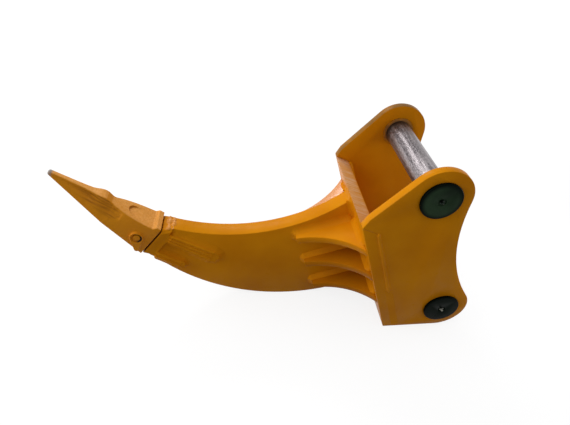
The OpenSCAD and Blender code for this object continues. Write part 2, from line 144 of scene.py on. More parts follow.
# Flame cutting leaves drag lines through the thickness, on the cut edges only
flame_cut, given, result = effect(
    "flame cut edge",
    {"Vector": ("Vector", None), "Through": ("Vector", (0, 1, 0))},
    {"Height": "Float", "Mask": "Float"},
)
depth = place(flame_cut, "ShaderNodeVectorMath",
              {"Vector": given["Vector"], "Vector_001": given["Through"]}, operation="DOT_PRODUCT")
along = place(flame_cut, "ShaderNodeVectorMath",
              {"Vector": given["Through"], "Scale": depth.outputs["Value"]}, operation="SCALE")
flat = place(flame_cut, "ShaderNodeVectorMath",
             {"Vector": given["Vector"], "Vector_001": along.outputs["Vector"]}, operation="SUBTRACT")
drag = place(flame_cut, "ShaderNodeTexNoise",
             {"Vector": flat.outputs["Vector"], "Scale": 130.0, "Detail": 2.0})
facing = place(flame_cut, "ShaderNodeVectorMath", {
    "Vector": place(flame_cut, "ShaderNodeNewGeometry").outputs["Normal"], "Vector_001": given["Through"],
}, operation="DOT_PRODUCT")
edge_mask = ranged(flame_cut, reckoned(flame_cut, "ABSOLUTE", facing.outputs["Value"]), 0.82, 0.7)
flame_cut.links.new(product(flame_cut, drag.outputs["Fac"], edge_mask), result["Height"])
flame_cut.links.new(edge_mask, result["Mask"])

# A second colour laid over the paint in clouds and along lines, on faces that look up more than Upward: thin
# dry paint on the far ear's edges, and painted sheen on the base plate's top edge and on the tooth's roof
dry_spray_and_sheen, given, result = effect(
    "dry spray and sheen",
    {"Vector": ("Vector", None), "Color": ("Color", enamel), "Dry": ("Color", pale_sheen_enamel),
     "Mask": ("Float", 1.0), "Lines": ("Float", 0.6), "Upward": ("Float", 0.85)},
    {"Color": "Color"},
)
upward = place(dry_spray_and_sheen, "ShaderNodeSeparateXYZ",
               {"Vector": place(dry_spray_and_sheen, "ShaderNodeNewGeometry").outputs["Normal"]}).outputs["Z"]
cloud = place(dry_spray_and_sheen, "ShaderNodeTexNoise", {"Vector": given["Vector"], "Scale": 16.0, "Detail": 4.0})
facing_up = ranged(dry_spray_and_sheen, reckoned(dry_spray_and_sheen, "SUBTRACT", upward, given["Upward"]), -0.05, 0.05)
clouded = ranged(dry_spray_and_sheen, cloud.outputs["Fac"], 0.3, 0.6, 0.6, 1.0)
lined = ranged(dry_spray_and_sheen, given["Lines"], 0.40, 0.56, 0.3, 1.0)
dry_and_sheen_mask = product(dry_spray_and_sheen, given["Mask"], facing_up, clouded, lined)
dry_spray_and_sheen.links.new(mixed(dry_spray_and_sheen, dry_and_sheen_mask, given["Color"], given["Dry"]), result["Color"])


def painted_plate(name, through, lines, sheen=paint_sheen, drawn=(1, 1, 1),
                  tone=enamel, deep=enamel_deep):
    """Orange enamel over plate, with drag lines on the edges that run along through, as
    strong as lines says and drawn out or crowded as drawn says: the material, its point,
    its colour, its cut edge, and the socket that takes the colour."""
    material = bpy.data.materials.new(name)
    material.use_nodes = True
    tree = material.node_tree
    coat = tree.nodes["Principled BSDF"]
    point = place(tree, "ShaderNodeTexCoord").outputs["Object"]
    film = place(tree, "ShaderNodeGroup", {"Vector": point, "Tone": tone, "Deep tone": deep},
                 node_tree=sprayed)
    grain = place(tree, "ShaderNodeVectorMath", {"Vector": point, "Vector_001": drawn},
                  operation="MULTIPLY")
    cut = place(tree, "ShaderNodeGroup", {"Vector": grain.outputs["Vector"], "Through": through},
                node_tree=flame_cut)
    peel_bump = place(tree, "ShaderNodeBump",
                      {"Height": film.outputs["Height"], "Strength": 0.05, "Distance": 0.001})
    bump = place(tree, "ShaderNodeBump", {
        "Height": cut.outputs["Height"], "Strength": lines, "Distance": drag_depth,
        "Normal": peel_bump.outputs["Normal"],
    })
    tree.links.new(film.outputs["Color"], coat.inputs["Base Color"])
    tree.links.new(film.outputs["Roughness"], coat.inputs["Roughness"])
    tree.links.new(bump.outputs["Normal"], coat.inputs["Normal"])
    coat.inputs["Specular IOR Level"].default_value = sheen
    return material, point, film.outputs["Color"], cut.outputs, coat.inputs["Base Color"]


def solid_copy(node, name):
    """A copy of a solid with its faces joined again, selected and active."""
    bpy.ops.object.select_all(action="DESELECT")
    piece = bpy.data.objects.new(name, nodes[node].data.copy())
    scene.collection.objects.link(piece)
    bpy.context.view_layer.objects.active = piece
    piece.select_set(True)
    bpy.ops.mesh.customdata_custom_splitnormals_clear()
    bpy.ops.object.mode_set(mode="EDIT")
    bpy.ops.mesh.select_all(action="SELECT")
    bpy.ops.mesh.remove_doubles(threshold=1e-6)
    bpy.ops.object.mode_set(mode="OBJECT")
    return piece


def ground_edges(node, name, edge):
    """A copy of a solid with its cut edges broken, as with a grinder."""
    piece = solid_copy(node, name)
    bpy.ops.object.mode_set(mode="EDIT")
    bpy.ops.mesh.dissolve_limited(angle_limit=math.radians(0.3))
    bpy.ops.object.mode_set(mode="OBJECT")
    bevel = piece.modifiers.new("broken edges", "BEVEL")
    bevel.width = edge
    bevel.segments = 2
    bevel.limit_method = "ANGLE"
    bevel.angle_limit = math.radians(30)
    bpy.ops.object.modifier_apply(modifier=bevel.name)
    bpy.ops.object.shade_smooth_by_angle(angle=math.radians(35))
    return piece


def finish(piece, material, slot, *stands_for):
    """Gives a piece its material and body, and hides the solids that it stands for; the slot is not used."""
    piece.data.materials.clear()
    piece.data.materials.append(material)
    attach(piece, "root")
    if stands_for:
        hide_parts(*stands_for)


base_paint, point, colour, cut, base_colour = painted_plate(
    "orange enamel on base plate", (math.cos(lean), 0, math.sin(lean)), base_lines, drawn=base_grain)
# The bevelled top edge takes a pale painted sheen, clouded and along its drag lines, fuller towards the far
# end
tree = base_paint.node_tree
across = place(tree, "ShaderNodeSeparateXYZ", {"Vector": point}).outputs["Y"]
sheened = place(tree, "ShaderNodeGroup", {
    "Vector": point, "Color": colour, "Lines": cut["Height"],
    "Mask": product(tree, cut["Mask"], ranged(tree, across, near_end, far_end, near_sheen)),
}, node_tree=dry_spray_and_sheen)
tree.links.new(sheened.outputs["Color"], base_colour)
base = ground_edges("base_plate", "painted_base_plate", plate_edge)
for vertex in base.data.vertices:
    upright = laid_down.transposed() @ vertex.co
    if upright.z < base_low + end_zone:
        level = (cad_low.z - upright.x * math.sin(lean)) / math.cos(lean)
        vertex.co = laid_down @ (upright + Vector((0, 0, level - base_low)))
finish(base, base_paint, "body_paint", "base_plate")


# Ears: two plates, alike, cut round about the pins and hollow between them. They stand
# on the base plate and are welded to it on both sides. The far one has little paint on
# its edges.
thin_enamel = (0.24, 0.115, 0.030, 1)
every_way = -1.1
edge_lines = 0.35
across_ear = (0, 1, 0)
plate_paint, *_ = painted_plate("orange enamel on plate", across_ear, edge_lines)
far_paint, point, colour, cut, base_colour = painted_plate(
    "orange enamel on far ear", across_ear, edge_lines)
tree = far_paint.node_tree
thinned = place(tree, "ShaderNodeGroup", {
    "Vector": point, "Color": colour, "Dry": thin_enamel, "Mask": cut["Mask"], "Upward": every_way,
}, node_tree=dry_spray_and_sheen)
tree.links.new(thinned.outputs["Color"], base_colour)
for side, paint in (("near", plate_paint), ("far", far_paint)):
    ear = ground_edges(f"{side}_ear", f"painted_{side}_ear", plate_edge)
    finish(ear, paint, "body_paint", f"{side}_ear")


# Bushes: hardened rings pressed into the ears. Their faces are painted over with the ears and darkened next
# to the pins with painted shade, and their bores are bare.
stick_centre = (0, 0, 0)
link_centre = (0.13406, 0, -0.46114)
pin_shaded_paint = (0.30, 0.135, 0.040, 1)
pin_shade_from, pin_shade_to, shade_wander = 0.049, 0.056, 0.008
bore_dark = (0.05, 0.045, 0.045, 1)
bore_bright = (0.42, 0.40, 0.40, 1)

# Worked steel is streaked along the axis of the piece and mottled all over
streaked, given, result = effect(
    "streaked steel",
    {"Vector": ("Vector", None), "Dark": ("Color", bore_dark), "Bright": ("Color", bore_bright)},
    {"Color": "Color", "Roughness": "Float", "Height": "Float"},
)
drawn_out = place(streaked, "ShaderNodeVectorMath", {"Vector": given["Vector"], "Vector_001": (1, 0.05, 1)},
                  operation="MULTIPLY")
streaks = place(streaked, "ShaderNodeTexNoise",
                {"Vector": drawn_out.outputs["Vector"], "Scale": 75.0, "Detail": 2.0}).outputs["Fac"]
half_drawn = place(streaked, "ShaderNodeVectorMath", {"Vector": given["Vector"], "Vector_001": (1, 0.6, 1)},
                   operation="MULTIPLY")
mottle = place(streaked, "ShaderNodeTexNoise",
               {"Vector": half_drawn.outputs["Vector"], "Scale": 260.0, "Detail": 5.0}).outputs["Fac"]
broad = ranged(streaked, streaks, 0.42, 0.62, 0.0, 0.55)
fine = ranged(streaked, mottle, 0.36, 0.66, 0.0, 0.45)
bright_mask = reckoned(streaked, "ADD", broad, fine)
streaked.links.new(mixed(streaked, bright_mask, given["Dark"], given["Bright"]), result["Color"])
streaked.links.new(ranged(streaked, mottle, 0.3, 0.7, 0.28, 0.55), result["Roughness"])
streaked.links.new(reckoned(streaked, "ADD", product(streaked, mottle, 0.8), streaks), result["Height"])

# Distance from a place, with weights that leave out a direction where they are zero
around, given, result = effect(
    "around",
    {"Vector": ("Vector", None), "Place": ("Vector", (0, 0, 0)), "Weights": ("Vector", (1, 1, 1))},
    {"Distance": "Float"},
)
offset = place(around, "ShaderNodeVectorMath", {"Vector": given["Vector"], "Vector_001": given["Place"]},
               operation="SUBTRACT")
weighted = place(around, "ShaderNodeVectorMath",
                 {"Vector": offset.outputs["Vector"], "Vector_001": given["Weights"]}, operation="MULTIPLY")
distance = place(around, "ShaderNodeVectorMath", {"Vector": weighted.outputs["Vector"]}, operation="LENGTH")
around.links.new(distance.outputs["Value"], result["Distance"])
about_pin = (1, 0, 1)


def reach_from(tree, point, centre, weights=(1, 1, 1)):
    """Distance of a point from a centre."""
    return place(tree, "ShaderNodeGroup", {"Vector": point, "Place": centre, "Weights": weights},
                 node_tree=around).outputs["Distance"]


def painted_bush(name, centre):
    """Painted faces, darkened next to the pin with painted shade, and a bare bore."""
    material = bpy.data.materials.new(name)
    material.use_nodes = True
    tree = material.node_tree
    coat = tree.nodes["Principled BSDF"]
    point = place(tree, "ShaderNodeTexCoord").outputs["Object"]
    film = place(tree, "ShaderNodeGroup", {"Vector": point}, node_tree=sprayed)
    bare = place(tree, "ShaderNodeGroup", {"Vector": point}, node_tree=streaked)
    bore = place(tree, "ShaderNodeGroup", {"Vector": point}, node_tree=flame_cut)
    # Painted shade on the faces close to the pin
    shade_noise = place(tree, "ShaderNodeTexNoise", {"Vector": point, "Scale": 60.0, "Detail": 3.0})
    edge = reckoned(tree, "ADD", reach_from(tree, point, centre, about_pin),
                    ranged(tree, shade_noise.outputs["Fac"], 0.3, 0.7, 0.0, shade_wander))
    face = mixed(tree, ranged(tree, edge, pin_shade_to, pin_shade_from), film.outputs["Color"], pin_shaded_paint)
    tree.links.new(mixed(tree, bore.outputs["Mask"], face, bare.outputs["Color"]), coat.inputs["Base Color"])
    tree.links.new(bore.outputs["Mask"], coat.inputs["Metallic"])
    tree.links.new(film.outputs["Roughness"], coat.inputs["Roughness"])
    coat.inputs["Specular IOR Level"].default_value = paint_sheen
    return material


for pin, centre in (("stick", stick_centre), ("link", link_centre)):
    bush_coat = painted_bush(f"bush at {pin} pin", centre)
    for side in ("near", "far"):
        bush = nodes[f"{side}_{pin}_bush"].data
        bush.materials.clear()
        bush.materials.append(bush_coat)


# Shank: one thick steel plate, flame cut between two arcs. It stands on edge on the front
# of the base plate, to which it is welded all round, and carries the tooth at its end.
shank = ground_edges("shank", "painted_shank", plate_edge)
finish(shank, plate_paint, "body_paint", "shank")


# Ribs: three plates on each side of the shank, welded to it and to the base plate. Painted shade darkens the
# middle and bottom ones, between them, and the paint is glossy on the far top one.
across_rib = (-math.sin(lean), 0, math.cos(lean))
# Painted shade: the middle and bottom ribs take a deeper tone
shaded_gap_tone = (0.50, 0.165, 0.002, 1)
shaded_gap_deep = (0.44, 0.140, 0.0015, 1)
wet_sheen = 0.9
rib_paint, *_ = painted_plate("orange enamel on ribs", across_rib, edge_lines)
shaded_gap_paint, *_ = painted_plate("orange enamel with painted shade between ribs", across_rib, edge_lines,
                              tone=shaded_gap_tone, deep=shaded_gap_deep)
wet_paint, *_ = painted_plate("orange enamel laid on wet", across_rib, edge_lines, wet_sheen)
rib_coats = {"near": {"top": rib_paint, "middle": shaded_gap_paint, "bottom": shaded_gap_paint},
             "far": {"top": wet_paint, "middle": shaded_gap_paint, "bottom": shaded_gap_paint}}
for side in ("near", "far"):
    for level in ("top", "middle", "bottom"):
        rib = ground_edges(f"{side}_{level}_rib", f"painted_{side}_{level}_rib", plate_edge)
        finish(rib, rib_coats[side][level], "body_paint", f"{side}_{level}_rib")


# Welds of the frame: fillets around the ribs and along the shank's root, runs in the
# inner corners of the ears, and a cap over the joint on the outside of each ear.
weld_step = 0.002
weld_ripple = 0.007
weld_beat = 0.03
weld_faces = 6
weld_root = 0.5
weld_sharp = math.radians(60)


def weld(name, lines, leg, crown=0.14, lumps=0.07, patch=0.03):
    """Weld runs along lines that are drawn with the base plate upright. Each point of a line
    comes with the two ways in which the run spreads from it, and where these are opposite
    also with the way out of the metal. The run is leg wide each way, crown says how full it
    is, and lumps how uneven, over lengths of about patch."""
    mesh = bmesh.new()
    for line in lines:
        line = [[Vector(v) for v in (*point, *[(0, 0, 0)] * (4 - len(point)))] for point in line]
        path = []
        for a, b in zip(line, line[1:]):
            way = max((b[0] - a[0]).length, leg * (b[1] - a[1]).length, leg * (b[2] - a[2]).length)
            steps = max(1, round(way / weld_step))
            path += [[va.lerp(vb, k / steps) for va, vb in zip(a, b)] for k in range(steps)]
        path.append(line[-1])
        rings = []
        for k, (at, one, other, out) in enumerate(path):
            out = (out if out.length else one + other).normalized()
            wander = noise.noise(at / patch)
            beat = math.sin(math.tau * k * weld_step / weld_ripple + 2 * wander)
            end = min(1, min(k, len(path) - 1 - k) * weld_step / leg + 0.05) ** 0.5
            size = leg * end * (1 + weld_beat * beat + lumps * wander)
            across = [j / weld_faces for j in range(weld_faces + 1)]
            ring = [at + size * (one * (1 - t) + other * t + out * crown * 4 * t * (1 - t)) for t in across]
            ring.append(at - out * size * weld_root)
            rings.append([mesh.verts.new(laid_down @ p) for p in ring])
        for ring, after in zip(rings, rings[1:]):
            for j in range(len(ring)):
                i = j - 1
                mesh.faces.new((ring[i], ring[j], after[j], after[i]))
        mesh.faces.new(rings[0])
        mesh.faces.new(rings[-1])
    bmesh.ops.recalc_face_normals(mesh, faces=mesh.faces)
    data = bpy.data.meshes.new(name)
    mesh.to_mesh(data)
    mesh.free()
    data.shade_smooth()
    data.set_sharp_from_angle(angle=weld_sharp)
    run = bpy.data.objects.new(name, data)
    scene.collection.objects.link(run)
    return run


base_rear, base_front, base_high = -0.180, -0.218, -0.0622
shank_side, rib_half, rib_tip_x, rib_end = 0.0275, 0.0125, -0.418, 0.165
ear_inside, ear_outside = 0.175, 0.2
root_high, root_low = -0.061, -0.429
along_top, along_belly = (-0.93, 0, -0.37), (-1, 0, -0.15)
joint_x = base_rear + 0.003
joint_lows = {"cap": -0.33, "flush": base_low - 0.012}
joint_beads = {"cap": {"leg": 0.0062, "crown": 0.85}, "flush": {"leg": 0.012, "crown": 0.02}}
rib_levels = {"top": -0.145, "middle": -0.262, "bottom": -0.379}
plain_fillet = {"leg": 0.014, "crown": -0.05}
rib_fillets = {
    "near": {"top": {"leg": 0.018, "crown": -0.2}, "middle": plain_fillet, "bottom": plain_fillet},
    "far": {"top": {"leg": 0.009, "crown": -0.2}, "middle": plain_fillet, "bottom": plain_fillet},
}
for side, s in (("near", -1), ("far", 1)):
    for name, level in rib_levels.items():
        over, under = level + rib_half, level - rib_half
        runs = [[((base_front, s * shank_side, over), (0, 0, 1), (0, s, 0)),
                 ((rib_tip_x, s * shank_side, over), (0, 0, 1), (0, s, 0)),
                 ((rib_tip_x, s * shank_side, over), (-1, 0, 0), (0, s, 0)),
                 ((rib_tip_x, s * shank_side, under), (-1, 0, 0), (0, s, 0)),
                 ((rib_tip_x, s * shank_side, under), (0, 0, -1), (0, s, 0)),
                 ((base_front, s * shank_side, under), (0, 0, -1), (0, s, 0))]]
        for edge, way in ((over, 1), (under, -1)):
            runs.append([((base_front, s * shank_side, edge), (0, 0, way), (-1, 0, 0)),
                         ((base_front, s * rib_end, edge), (0, 0, way), (-1, 0, 0))])
        finish(weld(f"{side}_{name}_rib_welds", runs, **rib_fillets[side][name]), plate_paint, "body_paint")
    inner = [((base_rear, s * ear_inside, z), (1, 0, 0), (0, -s, 0)) for z in (base_high, base_low)]
    finish(weld(f"{side}_ear_welds", [inner], leg=0.011), plate_paint, "body_paint")
    for name, bead in joint_beads.items():
        joint = [((joint_x, s * ear_outside, z), (1, 0, 0), (-1, 0, 0), (0, s, 0))
                 for z in (base_high, joint_lows[name])]
        finish(weld(f"{side}_ear_{name}_weld", [joint], **bead), plate_paint, "body_paint")
root = [((base_front, shank_side, root_low), (0, 0, -1), along_belly),
        ((base_front, -shank_side, root_low), (0, 0, -1), along_belly),
        ((base_front, -shank_side, root_low), (0, -1, 0), (-1, 0, 0)),
        ((base_front, -shank_side, root_high), (0, -1, 0), (-1, 0, 0)),
        ((base_front, -shank_side, root_high), (0, 0, 1), along_top),
        ((base_front, shank_side, root_high), (0, 0, 1), along_top),
        ((base_front, shank_side, root_high), (0, 1, 0), (-1, 0, 0)),
        ((base_front, shank_side, root_low), (0, 1, 0), (-1, 0, 0))]
finish(weld("shank_root_welds", [root], leg=0.015, crown=-0.1), plate_paint, "body_paint")


# Adapter: a cast collar with a nose for the tooth and forked cheeks over the shank. It keeps the skin of its
# sand mould, and from the gap at the tooth's rim on it is darkened with painted shade.
tooth_base = Vector((-0.860, 0, 0))
tooth_dir = Vector((-0.5446, 0, 0.8387))
tooth_up = Vector((0.8387, 0, 0.5446))
seat_line, seat_blur = -0.0060, 0.0015
rim_gap_shade = (0.15, 0.040, 0.004, 1)
cast_voxel = 0.0016
cast_low_roughness, cast_high_roughness = 0.4, 0.58


def cast_form(node, name, rounds):
    """A copy of a solid with every edge rounded off as in a casting."""
    piece = solid_copy(node, name)
    remesh = piece.modifiers.new("mould", "REMESH")
    remesh.mode = "VOXEL"
    remesh.voxel_size = cast_voxel
    bpy.ops.object.modifier_apply(modifier=remesh.name)
    smooth = piece.modifiers.new("rounding", "SMOOTH")
    smooth.factor = 0.5
    smooth.iterations = rounds
    bpy.ops.object.modifier_apply(modifier=smooth.name)
    bpy.ops.object.shade_smooth()
    return piece


# The skin of a sand casting is pitted finely and wavy, under its paint
sand_skin, given, result = effect("sand skin", {"Vector": ("Vector", None)}, {"Height": "Float"})
pits = place(sand_skin, "ShaderNodeTexNoise", {"Vector": given["Vector"], "Scale": 420.0, "Detail": 4.0})
waves = place(sand_skin, "ShaderNodeTexNoise", {"Vector": given["Vector"], "Scale": 70.0, "Detail": 2.0})
sand_skin.links.new(reckoned(sand_skin, "ADD", product(sand_skin, pits.outputs["Fac"], 0.4),
                             waves.outputs["Fac"]), result["Height"])


def painted_casting(name, sheen):
    """Orange enamel over a sand casting: the material, its point, its colour, and the
    socket that takes the colour."""
    material = bpy.data.materials.new(name)
    material.use_nodes = True
    tree = material.node_tree
    coat = tree.nodes["Principled BSDF"]
    point = place(tree, "ShaderNodeTexCoord").outputs["Object"]
    film = place(tree, "ShaderNodeGroup", {
        "Vector": point, "Low roughness": cast_low_roughness, "High roughness": cast_high_roughness,
    }, node_tree=sprayed)
    skin = place(tree, "ShaderNodeGroup", {"Vector": point}, node_tree=sand_skin)
    bump = place(tree, "ShaderNodeBump",
                 {"Height": skin.outputs["Height"], "Strength": 0.55, "Distance": 0.0015})
    tree.links.new(film.outputs["Color"], coat.inputs["Base Color"])
    tree.links.new(film.outputs["Roughness"], coat.inputs["Roughness"])
    tree.links.new(bump.outputs["Normal"], coat.inputs["Normal"])
    coat.inputs["Specular IOR Level"].default_value = sheen
    return material, point, film.outputs["Color"], coat.inputs["Base Color"]


def tooth_point_at(u, v, y=0.0):
    """A point given in the tooth's frame, with the base plate upright."""
    return tooth_base + tooth_dir * u + tooth_up * v + Vector((0, y, 0))


def reach_along(tree, point, start, way):
    """How far a point lies beyond a start, along a way given with the base plate upright."""
    offset = place(tree, "ShaderNodeVectorMath", {"Vector": point, "Vector_001": start}, operation="SUBTRACT")
    return place(tree, "ShaderNodeVectorMath",
                 {"Vector": offset.outputs["Vector"], "Vector_001": laid_down @ way},
                 operation="DOT_PRODUCT").outputs["Value"]


adapter_paint, point, colour, base_colour = painted_casting("orange enamel on adapter", paint_sheen)
tree = adapter_paint.node_tree
# Painted shade on the nose, from the gap at the tooth's rim onward
forward = reach_along(tree, point, laid_down @ tooth_point_at(seat_line, 0), tooth_dir)
tree.links.new(mixed(tree, ranged(tree, forward, 0.0, seat_blur), colour, rim_gap_shade), base_colour)
adapter = cast_form("adapter", "cast_adapter", rounds=8)
finish(adapter, adapter_paint, "body_paint", "adapter")


# Welds of the adapter: a fillet around each leg of its cheeks, with more passes along
# its face, and heavy uneven passes over its collar where it meets the shank.
cheek_side = 0.0388
cheek_rise = 0.86
upper_leg = {"root": (-0.040, 0.042), "end": (-0.196, 0.058), "root_r": 0.016, "end_r": 0.023}
lower_leg = {"root": (-0.040, -0.037), "end": (-0.1346, -0.029), "root_r": 0.012, "end_r": 0.013}
upper_shares, lower_shares = (-0.85, -0.15, 0.5), (-0.4, 0.6)
collar_rows = ((-0.031, 0.0787, 0.029), (-0.0195, 0.0712, 0.034))
slope_run, slope_drop = 0.81, 0.58
lump_sheen = 0.5


def leg_weld(root, end, root_r, end_r, s, over_reach, under_reach):
    """The line around one leg of a cheek, drawn in the tooth's frame, with how far the run
    reaches out over and under the leg."""
    way = (Vector(end) - Vector(root)).normalized()
    over = Vector((-way.y, way.x))
    turns = [(root, root_r, 90), (end, end_r, 90), (end, end_r, 45), (end, end_r, 0), (end, end_r, -45),
             (end, end_r, -90), (root, root_r, -90)]
    line = []
    for at, r, turn in turns:
        out = way * math.cos(math.radians(turn)) + over * math.sin(math.radians(turn))
        spot = Vector(at) + out * r
        reach = under_reach + (over_reach - under_reach) * (turn + 90) / 180
        outward = (tooth_dir * out.x + tooth_up * out.y) * reach
        line.append((tooth_point_at(spot.x, spot.y, s * shank_side), outward, (0, s * cheek_rise, 0)))
    return line


def face_pass(root, end, root_r, end_r, s, share):
    """A pass along the face of a leg, at a share of its half width from its middle."""
    way = (Vector(end) - Vector(root)).normalized()
    over = Vector((-way.y, way.x))
    spots = [Vector(at) + over * r * share for at, r in ((root, root_r), (end, end_r))]
    side_way = tooth_dir * over.x + tooth_up * over.y
    return [(tooth_point_at(spot.x, spot.y, s * cheek_side), side_way, -side_way, (0, s, 0))
            for spot in spots]


for side, s in (("near", -1), ("far", 1)):
    runs = [leg_weld(**upper_leg, s=s, over_reach=1.6, under_reach=1.5),
            leg_weld(**lower_leg, s=s, over_reach=1.5, under_reach=0.6)]
    fillets = weld(f"{side}_cheek_welds", runs, leg=0.0132, crown=-0.12, lumps=0.05)
    finish(fillets, adapter_paint, "body_paint")
    runs = [face_pass(**upper_leg, s=s, share=share) for share in upper_shares]
    runs += [face_pass(**lower_leg, s=s, share=share) for share in lower_shares]
    passes = weld(f"{side}_cheek_passes", runs, leg=0.0058, crown=0.8, lumps=0.2)
    finish(passes, adapter_paint, "body_paint")
lump_paint, *_ = painted_casting("orange enamel on weld lumps", lump_sheen)
down_slope = tooth_dir * slope_run - tooth_up * slope_drop
off_slope = tooth_up * slope_run + tooth_dir * slope_drop
rows = [[(tooth_point_at(u, v, y), down_slope, -down_slope, off_slope) for y in (-half, half)]
        for u, v, half in collar_rows]
lumps = weld("collar_welds", rows, leg=0.0085, crown=0.45, lumps=1.1, patch=0.012)
finish(lumps, lump_paint, "body_paint")


# Tooth point: a casting too, with its socket over the adapter's nose. The paint is worn off at its tip;
# painted shade darkens its flutes and the ring around its pin, and a painted highlight lightens its roof
# where it faces up.
worn = (0.31, 0.27, 0.24, 1)
ring_shade = (0.030, 0.012, 0.004, 1)
shaded = (0.47, 0.17, 0.012, 1)
roof_highlight = (0.88, 0.40, 0.088, 1)
roof_upward = 0.66
flute_shade = (0.26, 0.080, 0.001, 1)
flute_from, flute_to, flute_fade, tip_run = 0.118, 0.22, 0.30, 0.346
flute_middle, flute_bow, flute_blur = 0.030, 0.15, 0.005
boss_clear = (0.024, 0.030)
scoop_wall, scoop_rim, scoop_front = (0.0150, 0.0190), (0.0225, 0.0212), (-0.006, 0.010)
tip_ragged, tip_edge = 0.010, (0.021, 0.015)
ring_edge, ring_side = (0.0178, 0.0166), (-0.012, 0.002)
tooth_sheen = 0.15
scoop_at = laid_down @ tooth_point_at(0.086, 0.0495)
tip_at = laid_down @ tooth_point_at(tip_run, 0.036)
lock_at = laid_down @ tooth_point_at(0.045, -0.002)

# Lines of painted shade run along the flutes of the tooth, from their rounded end forward, as between fine
# ribs
shaded_flutes, given, result = effect(
    "shaded flutes",
    {"Vector": ("Vector", None), "Color": ("Color", enamel), "Deep tone": ("Color", flute_shade)},
    {"Color": "Color"},
)
turned = place(shaded_flutes, "ShaderNodeVectorRotate", {
    "Vector": given["Vector"], "Center": laid_down @ tooth_base, "Axis": (0, 1, 0),
    "Angle": math.atan2((laid_down @ tooth_dir).z, (laid_down @ tooth_dir).x),
}, rotation_type="AXIS_ANGLE")
stretched = place(shaded_flutes, "ShaderNodeVectorMath",
                  {"Vector": turned.outputs["Vector"], "Vector_001": (0.05, 0.4, 1)}, operation="MULTIPLY")
lines = place(shaded_flutes, "ShaderNodeTexNoise",
              {"Vector": stretched.outputs["Vector"], "Scale": 190.0, "Detail": 2.0})
unrolled = place(shaded_flutes, "ShaderNodeSeparateXYZ", {"Vector": turned.outputs["Vector"]}).outputs
along_tooth = reckoned(shaded_flutes, "SUBTRACT", unrolled["X"], (laid_down @ tooth_base).x)
over_axis = reckoned(shaded_flutes, "SUBTRACT", (laid_down @ tooth_base).z, unrolled["Z"])
half_height = ranged(shaded_flutes, along_tooth, flute_from, tip_run, 0.008, 0.036)
from_middle = reckoned(shaded_flutes, "DIVIDE",
                       reckoned(shaded_flutes, "SUBTRACT", over_axis, flute_middle), flute_bow)
past_end = reckoned(shaded_flutes, "SUBTRACT", along_tooth, product(shaded_flutes, from_middle, from_middle))
flank_normal = place(shaded_flutes, "ShaderNodeSeparateXYZ", {
    "Vector": place(shaded_flutes, "ShaderNodeNewGeometry").outputs["Normal"],
}).outputs["Y"]
flute_shade_mask = product(
    shaded_flutes,
    ranged(shaded_flutes, lines.outputs["Fac"], 0.46, 0.66, 0.15, 0.65),
    ranged(shaded_flutes, past_end, flute_from, flute_from + flute_blur),
    ranged(shaded_flutes, along_tooth, flute_fade, flute_to),
    ranged(shaded_flutes, reckoned(shaded_flutes, "SUBTRACT", over_axis, half_height), -0.006, 0.004),
    ranged(shaded_flutes, reckoned(shaded_flutes, "ABSOLUTE", flank_normal), 0.5, 0.8),
)
shaded_flutes.links.new(mixed(shaded_flutes, flute_shade_mask, given["Color"], given["Deep tone"]), result["Color"])

tooth_paint, point, colour, base_colour = painted_casting("orange enamel on tooth", tooth_sheen)
tree = tooth_paint.node_tree
ring_reach = reach_from(tree, point, lock_at, about_pin)
# Painted highlight: the roof is paler where it faces up, speckled, and kept off the pin's boss
sand = place(tree, "ShaderNodeTexNoise", {"Vector": point, "Scale": 170.0, "Detail": 5.0})
sheened = place(tree, "ShaderNodeGroup", {
    "Vector": point, "Color": colour, "Dry": roof_highlight, "Upward": roof_upward,
    "Lines": ranged(tree, sand.outputs["Fac"], 0.3, 0.7, 0.44, 0.58),
    "Mask": ranged(tree, ring_reach, *boss_clear),
}, node_tree=dry_spray_and_sheen)
fluted = place(tree, "ShaderNodeGroup", {"Vector": point, "Color": sheened.outputs["Color"]},
               node_tree=shaded_flutes)

# The front wall of the scoop in the roof lies in shade
scoop_reach = reach_from(tree, point, scoop_at)
scoop_mask = product(
    tree, ranged(tree, scoop_reach, *scoop_wall), ranged(tree, scoop_reach, *scoop_rim),
    ranged(tree, reach_along(tree, point, scoop_at, tooth_dir), *scoop_front))
hollowed = mixed(tree, scoop_mask, fluted.outputs["Color"], shaded)

# The worn tip has a ragged edge of paint, and painted shade lies in the ring above and behind the pin
ragged = place(tree, "ShaderNodeTexNoise", {"Vector": point, "Scale": 220.0, "Detail": 3.0})
tip_reach = reckoned(tree, "ADD", reach_from(tree, point, tip_at),
                     ranged(tree, ragged.outputs["Fac"], 0.3, 0.7, 0.0, tip_ragged))
tipped = mixed(tree, ranged(tree, tip_reach, *tip_edge), hollowed, worn)
upper_rear = reach_along(tree, point, lock_at, tooth_up - tooth_dir)
ring_shade_mask = product(tree, ranged(tree, ring_reach, *ring_edge), ranged(tree, upper_rear, *ring_side))
tree.links.new(mixed(tree, ring_shade_mask, tipped, ring_shade), base_colour)
tooth = cast_form("tooth_point", "cast_tooth_point", rounds=5)
finish(tooth, tooth_paint, "cast_paint", "tooth_point")


# Tooth pin and its retainer: a turned pin that is driven through the tooth and the nose,
# its ends painted with the tooth, and a ring of oiled steel that holds it, out of sight.
lock_edge = 0.0015
pin_paint, *_ = painted_casting("orange enamel on tooth pin", tooth_sheen)
lock_pin = ground_edges("tooth_pin", "painted_tooth_pin", lock_edge)
finish(lock_pin, pin_paint, "cast_paint", "tooth_pin")


